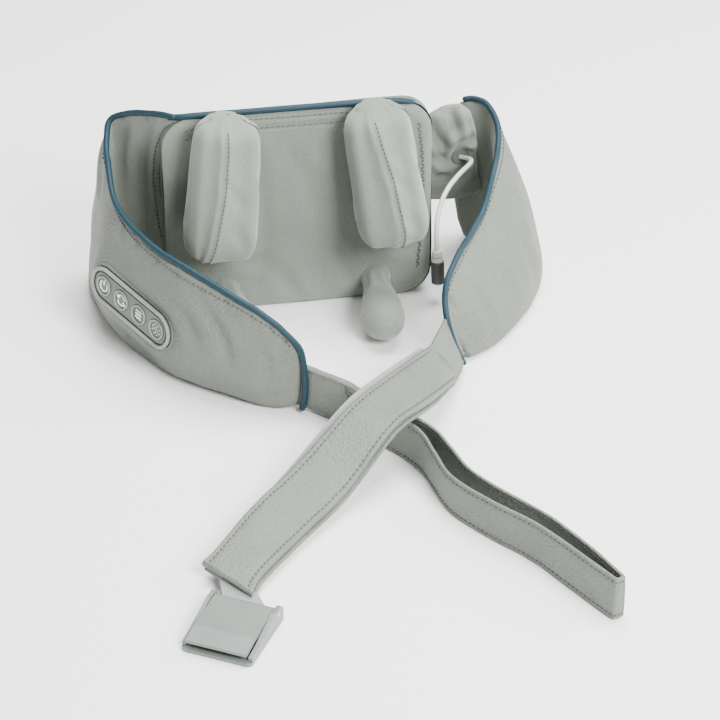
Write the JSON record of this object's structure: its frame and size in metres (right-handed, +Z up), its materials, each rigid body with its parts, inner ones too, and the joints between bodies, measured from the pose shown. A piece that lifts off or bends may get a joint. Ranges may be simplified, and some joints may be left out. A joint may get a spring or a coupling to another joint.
{
  "type": "shiatsu neck massager",
  "caption": "U-shaped padded collar that stands on its base, with geared kneading hands, soft wings, a button pod, hand loops, a charging lead and a flap buckle.",
  "frame": {"origin": "middle of the back module's base, on the surface that the collar stands on", "axes": "+X along the back module towards the wing with the charging lead, -Y out of the U towards the wearer, +Z up"},
  "size_m": [0.3938, 0.5494, 0.1858],
  "materials": {
    "knit_fabric": "soft knit",
    "leatherette": "pebbled, satin",
    "piping": "smooth satin",
    "abs_black": "moulded, matte",
    "nylon": "glass-filled, matte",
    "acetal": "moulded",
    "steel": "zinc plated",
    "pod_plastic": "moulded, satin",
    "silicone": "moulded",
    "circuit_board": "solder mask",
    "chips": "moulded",
    "cell_wrap": "shrink film",
    "film": "polyimide film",
    "white_pvc": "moulded, satin",
    "webbing": "woven elastic"
  },
  "bodies": {
    "collar": {"back_piping": "piping", "battery_cells": "cell_wrap", "battery_tray": "abs_black", "board_parts": "chips", "buckle_frame": "pod_plastic", "buckle_pin": "steel", "cable_grommet": "silicone", "charging_lead": "white_pvc", "connector_barrel": "abs_black", "connector_collar": "white_pvc", "control_bezel": "pod_plastic", "control_board": "circuit_board", "drive_chassis": "nylon", "elastic_webbing": "webbing", "front_cover": "knit_fabric", "front_housing": "abs_black", "gearbox": "steel", "heating_film": "film", "housing_screws": "steel", "idler_pins": "steel", "keypad_membrane": "silicone", "left_kingpin": "steel", "left_piping": "piping", "left_strap": "leatherette", "left_strap_return": "leatherette", "left_strap_tab": "leatherette", "left_wing": "leatherette", "main_board": "circuit_board", "motor_can": "steel", "pod_tray": "abs_black", "rear_cover": "leatherette", "rear_housing": "abs_black", "right_gusset": "knit_fabric", "right_kingpin": "steel", "right_piping": "piping", "right_strap": "leatherette", "right_strap_tab": "leatherette", "right_wing": "leatherette"},
    "left_hand": {"left_arm": "nylon", "left_bushes": "acetal", "left_blade_core": "nylon", "left_blade_pad": "knit_fabric", "left_thumb_pad": "knit_fabric"},
    "right_hand": {"right_arm": "nylon", "right_bushes": "acetal", "right_blade_core": "nylon", "right_blade_pad": "knit_fabric", "right_thumb_pad": "knit_fabric"},
    "left_idler_gear": {"left_idler": "acetal"},
    "right_idler_gear": {"right_idler": "acetal"},
    "pinion": {"motor_pinion": "acetal", "output_shaft": "steel"},
    "button_power": {"button_1": "pod_plastic"},
    "button_direction": {"button_2": "pod_plastic"},
    "button_heat": {"button_3": "pod_plastic"},
    "button_mode": {"button_4": "pod_plastic"},
    "buckle_flap": {"buckle_cover": "pod_plastic"}
  },
  "joints": [
    {"name": "left_hand_swing", "type": "hinge", "parent": "collar", "child": "left_hand", "pos_m": [-0.0645, 0.008, 0.064], "axis": [0, 0, 1], "range_deg": [-6, 14]},
    {"name": "right_hand_swing", "type": "hinge", "parent": "collar", "child": "right_hand", "pos_m": [0.0645, 0.008, 0.064], "axis": [0, 0, 1], "range_deg": [-14.2, 6.2]},
    {"name": "left_idler_spin", "type": "hinge", "parent": "collar", "child": "left_idler_gear", "pos_m": [-0.018, 0.008, 0.064], "axis": [0, 0, 1], "range_deg": [-24, 24]},
    {"name": "right_idler_spin", "type": "hinge", "parent": "collar", "child": "right_idler_gear", "pos_m": [0.018, 0.008, 0.064], "axis": [0, 0, 1], "range_deg": [-24, 24]},
    {"name": "pinion_spin", "type": "hinge", "parent": "collar", "child": "pinion", "pos_m": [-0.018, 0.035, 0.064], "axis": [0, 0, 1], "range_deg": [-48, 48]},
    {"name": "press_power", "type": "slide", "parent": "collar", "child": "button_power", "axis": [0.8294, 0.5496, -0.0999], "range_m": [0, 0.0008], "stiffness_N_per_m": 400, "springref_m": -0.0004},
    {"name": "press_direction", "type": "slide", "parent": "collar", "child": "button_direction", "axis": [0.8294, 0.5496, -0.0999], "range_m": [0, 0.0008], "stiffness_N_per_m": 400, "springref_m": -0.0004},
    {"name": "press_heat", "type": "slide", "parent": "collar", "child": "button_heat", "axis": [0.8294, 0.5496, -0.0999], "range_m": [0, 0.0008], "stiffness_N_per_m": 400, "springref_m": -0.0004},
    {"name": "press_mode", "type": "slide", "parent": "collar", "child": "button_mode", "axis": [0.8294, 0.5496, -0.0999], "range_m": [0, 0.0008], "stiffness_N_per_m": 400, "springref_m": -0.0004},
    {"name": "buckle_flap_hinge", "type": "hinge", "parent": "collar", "child": "buckle_flap", "pos_m": [-0.1007, -0.42936, 0.009], "axis": [-0.8572, 0.515, 0], "range_deg": [0, 100]}
  ],
  "couplings": [
    {"joint": "right_hand_swing", "follows": "left_hand_swing", "ratio": -1},
    {"joint": "left_idler_spin", "follows": "left_hand_swing", "ratio": -1.5833},
    {"joint": "right_idler_spin", "follows": "left_hand_swing", "ratio": 1.5833},
    {"joint": "pinion_spin", "follows": "left_hand_swing", "ratio": 3.1667}
  ]
}
